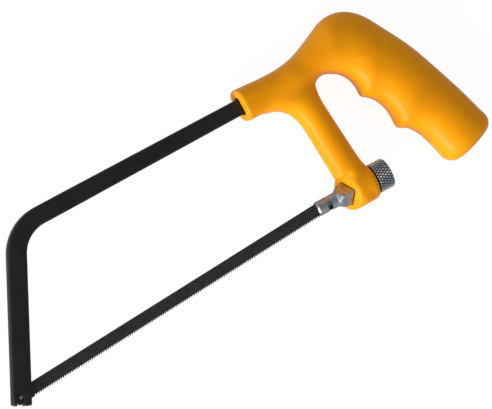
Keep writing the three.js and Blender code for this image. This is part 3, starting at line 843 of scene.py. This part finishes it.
class Look:
    """A Principled material under construction."""

    def __init__(self, name, **uniform):
        self.material = bpy.data.materials.new(name)
        self.material.use_nodes = True
        self.tree = self.material.node_tree
        self.tree.nodes.clear()
        output = self.tree.nodes.new("ShaderNodeOutputMaterial")
        self.shader = self.tree.nodes.new("ShaderNodeBsdfPrincipled")
        self.tree.links.new(self.shader.outputs["BSDF"], output.inputs["Surface"])
        self.place = self.add("TexCoord").outputs["Object"]
        self.set(**uniform)

    def set(self, **values):
        for key, value in values.items():
            self.feed(self.shader.inputs[key.replace("_", " ")], value)

    def feed(self, socket, value):
        if isinstance(value, bpy.types.NodeSocket):
            self.tree.links.new(value, socket)
        else:
            socket.default_value = value

    def add(self, kind, settings=None, **inputs):
        node = self.tree.nodes.new("ShaderNode" + kind)
        for key, value in (settings or {}).items():
            setattr(node, key, value)
        for key, value in inputs.items():
            self.feed(node.inputs[key.replace("_", " ")], value)
        return node

    def noise(self, size, detail=3.0, roughness=0.5, stretch=None):
        """Noise between 0 and 1 with features of about that size in millimetres."""
        place = self.place
        if stretch:
            mapping = self.add("Mapping", Vector=place)
            mapping.inputs["Scale"].default_value = stretch
            place = mapping.outputs["Vector"]
        node = self.add("TexNoise", Vector=place, Scale=1 / (size * MM), Detail=detail, Roughness=roughness)
        return node.outputs["Fac"]

    def spread(self, value, low, high, to_low=0.0, to_high=1.0):
        """Stretches a range of a value onto another range."""
        node = self.add("MapRange", {"clamp": True}, Value=value)
        node.inputs["From Min"].default_value = low
        node.inputs["From Max"].default_value = high
        node.inputs["To Min"].default_value = to_low
        node.inputs["To Max"].default_value = to_high
        return node.outputs["Result"]

    def math(self, operation, a, b=0.0):
        node = self.add("Math", {"operation": operation})
        self.feed(node.inputs[0], a)
        self.feed(node.inputs[1], b)
        return node.outputs[0]

    def mix(self, share, first, second):
        node = self.add("Mix", {"data_type": "RGBA"})
        self.feed(node.inputs[0], share)
        self.feed(node.inputs[6], first)
        self.feed(node.inputs[7], second)
        return node.outputs[2]

    def bump(self, height, distance, strength=1.0, normal=None):
        node = self.add("Bump", Height=height, Strength=strength, Distance=distance * MM)
        if normal is not None:
            self.feed(node.inputs["Normal"], normal)
        return node.outputs["Normal"]

    def from_axis(self):
        """Distance from the tension line."""
        start, end = to_row(on_axis([(0.0, 0.0, 0.0), (1.0, 0.0, 0.0)]))
        offset = self.add("VectorMath", {"operation": "SUBTRACT"})
        self.feed(offset.inputs[0], self.place)
        offset.inputs[1].default_value = start
        across = self.add("VectorMath", {"operation": "CROSS_PRODUCT"})
        self.feed(across.inputs[0], offset.outputs["Vector"])
        across.inputs[1].default_value = (end - start) / np.linalg.norm(end - start)
        length = self.add("VectorMath", {"operation": "LENGTH"})
        self.feed(length.inputs[0], across.outputs["Vector"])
        return length.outputs["Value"]

    def edges(self, radius, low=0.02, high=0.25):
        """1 on sharp edges, 0 on flat faces: how far a rounded normal leans from the true one."""
        bevel = self.add("Bevel", {"samples": 4}, Radius=radius * MM)
        geometry = self.add("NewGeometry")
        dot = self.add("VectorMath", {"operation": "DOT_PRODUCT"})
        self.feed(dot.inputs[0], bevel.outputs["Normal"])
        self.feed(dot.inputs[1], geometry.outputs["Normal"])
        lean = self.math("SUBTRACT", 1.0, dot.outputs["Value"])
        return self.spread(lean, low, high)


def colour(red, green, blue):
    """Display values from 0 to 255 to the linear colour that a shader takes."""
    values = np.array([red, green, blue]) / 255
    linear = np.where(values <= 0.04045, values / 12.92, ((values + 0.055) / 1.055) ** 2.4)
    return (*linear.tolist(), 1.0)


def yellow_plastic():
    look = Look("yellow_plastic", Specular_IOR_Level=0.14, IOR=1.5)
    clouds = look.noise(14, detail=4)
    flow = look.noise(5, detail=3, stretch=(0.4, 1.2, 1.0))
    base = look.mix(look.spread(clouds, 0.35, 0.65), colour(250, 156, 0), colour(253, 163, 0))
    base = look.mix(look.spread(flow, 0.4, 0.7, 0.0, 0.35), base, colour(246, 150, 0))
    rubbed = look.math("MULTIPLY", look.edges(0.8, 0.03, 0.3), look.spread(look.noise(1.6), 0.45, 0.6))
    base = look.mix(look.math("MULTIPLY", rubbed, 0.35), base, colour(252, 190, 70))
    look.set(Base_Color=base)
    look.set(Roughness=look.spread(look.noise(3.5, detail=5), 0.3, 0.7, 0.30, 0.42))
    skin = look.noise(0.7, detail=2)
    sink = look.noise(9, detail=1)
    normal = look.bump(skin, 0.012, 0.35)
    look.set(Normal=look.bump(sink, 0.06, 0.5, normal))
    return look.material


def black_paint():
    look = Look("black_paint", Specular_IOR_Level=0.32, IOR=1.5)
    mottle = look.noise(6, detail=5)
    base = look.mix(look.spread(mottle, 0.35, 0.65), colour(17, 17, 18), colour(24, 24, 25))
    sharp = look.edges(0.5, 0.06, 0.35)
    wear = look.math("MULTIPLY", sharp, look.spread(look.noise(0.9, detail=6), 0.52, 0.62))
    base = look.mix(look.math("MULTIPLY", wear, 0.6), base, colour(120, 118, 116))
    look.set(Base_Color=base)
    look.set(Metallic=look.math("MULTIPLY", wear, 0.5))
    look.set(Roughness=look.spread(look.noise(2.2, detail=5), 0.3, 0.7, 0.40, 0.54))
    orange_peel = look.noise(0.55, detail=2)
    waves = look.noise(4.0, detail=2)
    normal = look.bump(orange_peel, 0.02, 0.5)
    look.set(Normal=look.bump(waves, 0.05, 0.4, normal))
    return look.material


def blade_steel():
    look = Look("blade_steel", Specular_IOR_Level=0.35, IOR=1.5)
    mottle = look.noise(2.0, detail=6)
    base = look.mix(look.spread(mottle, 0.35, 0.65), colour(32, 32, 34), colour(48, 47, 47))
    height = look.add("SeparateXYZ", Vector=look.place).outputs["Y"]
    tooth_line = FRONT_PIN.y + TOOTH_LINE * MM
    cutting = look.spread(height, tooth_line + 1.0 * MM, tooth_line + 0.3 * MM)
    speckle = look.spread(look.noise(0.5, detail=4), 0.42, 0.62)
    worn = look.math("MULTIPLY", cutting, speckle)
    base = look.mix(look.math("MULTIPLY", worn, 0.7), base, colour(104, 88, 82))
    sharp = look.edges(0.15, 0.05, 0.3)
    edge = look.math("MULTIPLY", sharp, look.spread(look.noise(1.5, detail=4), 0.4, 0.6))
    base = look.mix(look.math("MULTIPLY", edge, 0.5), base, colour(120, 120, 122))
    look.set(Base_Color=base)
    bright_teeth = look.math("MULTIPLY", worn, 0.6)
    look.set(Metallic=look.math("MAXIMUM", bright_teeth, look.math("MULTIPLY", edge, 0.6)))
    look.set(Roughness=look.spread(look.noise(1.2, detail=5), 0.3, 0.7, 0.38, 0.56))
    grinding = look.noise(0.4, detail=3, stretch=(0.06, 1.0, 1.0))
    look.set(Normal=look.bump(grinding, 0.02, 0.35))
    return look.material


def bare_metal(name, tint_low, tint_high, rough_low, rough_high, grooves=False):
    """Plain or plated metal. With grooves, the bottoms of the knob's knurl get painted shade, a dark
    blue-grey that deepens towards the tension line.
    """
    look = Look(name, Metallic=1.0)
    mottle = look.noise(1.8, detail=5)
    base = look.mix(look.spread(mottle, 0.3, 0.7), tint_low, tint_high)
    grime = look.spread(look.noise(0.8, detail=6), 0.55, 0.75, 0.0, 0.4)
    base = look.mix(grime, base, colour(92, 88, 84))
    edge = look.math("MULTIPLY", look.edges(0.2, 0.04, 0.3), 0.35)
    base = look.mix(edge, base, colour(235, 235, 238))
    # Painted shade: the knurl's groove bottoms are mixed towards dark blue-grey by their distance from the
    # tension line, standing in for the shade that falls in them.
    if grooves:
        groove_shade_full = (KNOB_RADIUS - 0.9 * KNURL_DEPTH) * MM
        groove_shade_none = (KNOB_RADIUS - 0.3 * KNURL_DEPTH) * MM
        base = look.mix(look.spread(look.from_axis(), groove_shade_full, groove_shade_none), colour(34, 39, 50), base)
    look.set(Base_Color=base)
    look.set(Roughness=look.spread(look.noise(0.9, detail=5), 0.3, 0.7, rough_low, rough_high))
    turning = look.noise(0.3, detail=3, stretch=(1.0, 0.12, 0.12))
    look.set(Normal=look.bump(turning, 0.006, 0.25))
    return look.material


# ---------------------------------------------------------------- floor, light and camera

VIEW_BACK = Vector((-0.2311, 0.0822, 0.9695)).normalized()   # from the saw to the camera
VIEW_UP = Vector((0.5144, 0.8561, 0.0500))
VIEW_TARGET = FRONT_PIN + Vector((119.1, 17.5, 0.0)) * MM
VIEW_DISTANCE = 1.1231
LENS = 202.7


def camera_axes():
    right = VIEW_UP.cross(VIEW_BACK).normalized()
    return right, VIEW_BACK.cross(right).normalized()


def make_camera():
    data = bpy.data.cameras.new("camera")
    data.lens = LENS
    data.sensor_width = 36.0
    data.clip_start = 0.05
    data.clip_end = 20.0
    camera = bpy.data.objects.new("camera", data)
    bpy.context.scene.collection.objects.link(camera)
    right, up = camera_axes()
    turn = Matrix((right, up, VIEW_BACK)).transposed()
    camera.matrix_world = Matrix.Translation(VIEW_TARGET + VIEW_BACK * VIEW_DISTANCE) @ turn.to_4x4()
    bpy.context.scene.camera = camera


def area_light(name, towards, distance, size, power, tint=(1.0, 1.0, 1.0)):
    """A square soft light, placed by its direction in the picture: right, up, towards the camera."""
    right, up = camera_axes()
    way = (right * towards[0] + up * towards[1] + VIEW_BACK * towards[2]).normalized()
    data = bpy.data.lights.new(name, "AREA")
    data.shape = "SQUARE"
    data.size = size
    data.energy = power
    data.color = tint
    light = bpy.data.objects.new(name, data)
    light.location = VIEW_TARGET + way * distance
    light.rotation_mode = "QUATERNION"
    light.rotation_quaternion = way.to_track_quat("Z", "Y")
    bpy.context.scene.collection.objects.link(light)
    return light


def make_floor():
    look = Look("pale_floor", Roughness=0.9, Specular_IOR_Level=0.1, Emission_Strength=0.9)
    look.set(Emission_Color=(1.0, 1.0, 1.0, 1.0))
    clouds = look.spread(look.noise(60), 0.3, 0.7)
    look.set(Base_Color=look.mix(clouds, colour(118, 118, 120), colour(124, 124, 126)))
    reach = 1.5
    corners = [(-reach, -reach, 0.0), (reach, -reach, 0.0), (reach, reach, 0.0), (-reach, reach, 0.0)]
    mesh = bpy.data.meshes.new("floor")
    mesh.from_pydata(corners, [], [(0, 1, 2, 3)])
    mesh.materials.append(look.material)
    floor = bpy.data.objects.new("floor", mesh)
    bpy.context.scene.collection.objects.link(floor)
    floor.visible_diffuse = False
    floor.visible_glossy = False


SKY_TOP = 0.35
SKY_LIT_SIDE = 1.35
SKY_DIM_SIDE = 0.35
SKY_BELOW = 0.5


def make_world():
    """A studio tent: bright on the side of the key light, dimmer opposite and overhead, where the
    camera looks in, and a pale table below."""
    world = bpy.data.worlds.new("studio")
    world.use_nodes = True
    tree = world.node_tree
    right, up = camera_axes()
    light_way = (-0.72 * right - 0.69 * up).normalized()

    def add(kind, operation=None, *values):
        node = tree.nodes.new("ShaderNode" + kind)
        if operation:
            node.operation = operation
        for socket, value in zip(node.inputs, values):
            if isinstance(value, bpy.types.NodeSocket):
                tree.links.new(value, socket)
            else:
                socket.default_value = value
        return node

    way = add("TexCoord").outputs["Generated"]
    height = add("SeparateXYZ", None, way).outputs["Z"]
    towards_light = add("VectorMath", "DOT_PRODUCT", way, tuple(light_way)).outputs["Value"]
    lit = add("MapRange", None, towards_light, -1.0, 1.0, 0.0, 1.0).outputs[0]
    side = add("MapRange", None, lit, 0.0, 1.0, SKY_DIM_SIDE, SKY_LIT_SIDE).outputs[0]
    steep = add("Math", "POWER", add("Math", "MAXIMUM", height, 0.0).outputs[0], 2.0).outputs[0]
    sky = add("Mix", None, steep)
    tree.links.new(side, sky.inputs[2])
    sky.inputs[3].default_value = SKY_TOP
    below = add("Math", "LESS_THAN", height, 0.0).outputs[0]
    strength = add("Mix", None, below)
    tree.links.new(sky.outputs[0], strength.inputs[2])
    strength.inputs[3].default_value = SKY_BELOW
    tint = tree.nodes.new("ShaderNodeMix")
    tint.data_type = "RGBA"
    tree.links.new(lit, tint.inputs[0])
    tint.inputs[6].default_value = (0.86, 0.93, 1.0, 1.0)
    tint.inputs[7].default_value = (1.0, 0.99, 0.96, 1.0)
    background = tree.nodes["Background"]
    tree.links.new(tint.outputs[2], background.inputs["Color"])
    tree.links.new(strength.outputs[0], background.inputs["Strength"])
    bpy.context.scene.world = world
    bpy.context.scene.view_settings.view_transform = "Standard"


# ---------------------------------------------------------------- assembly

def finish_piece(obj, material, body, node):
    obj.data.materials.clear()
    obj.data.materials.append(material)
    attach(obj, body)
    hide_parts(node)


def build_saw():
    pin_steel = bare_metal("pin_steel", colour(120, 120, 124), colour(150, 150, 154), 0.32, 0.5)
    plated = bare_metal("plated_steel", colour(146, 146, 150), colour(178, 178, 182), 0.24, 0.36)
    chrome_tints = colour(206, 212, 222), colour(240, 242, 246)
    # The knob's chrome carries painted shade in the bottoms of its knurl grooves.
    chrome = bare_metal("knurled_chrome", *chrome_tints, 0.1, 0.2, grooves=True)
    finish_piece(make_handle(), yellow_plastic(), "frame", "handle")
    finish_piece(make_frame_bar(), black_paint(), "frame", "frame_bar")
    finish_piece(make_washer(), plated, "frame", "thrust_washer")
    finish_piece(make_blade(), blade_steel(), "blade_set", "blade")
    for name, node in (("front_blade_pin", "blade_front_pin"), ("rear_blade_pin", "blade_rear_pin")):
        finish_piece(make_pin(name, node), pin_steel, "blade_set", node)
    finish_piece(make_drawbar(), plated, "tension_rod", "drawbar")
    finish_piece(make_knob(), chrome, "knob", "tension_knob")


make_world()
make_floor()
make_camera()
area_light("key", (-0.75, -0.8, 0.28), 1.6, 1.1, 44)
build_saw()
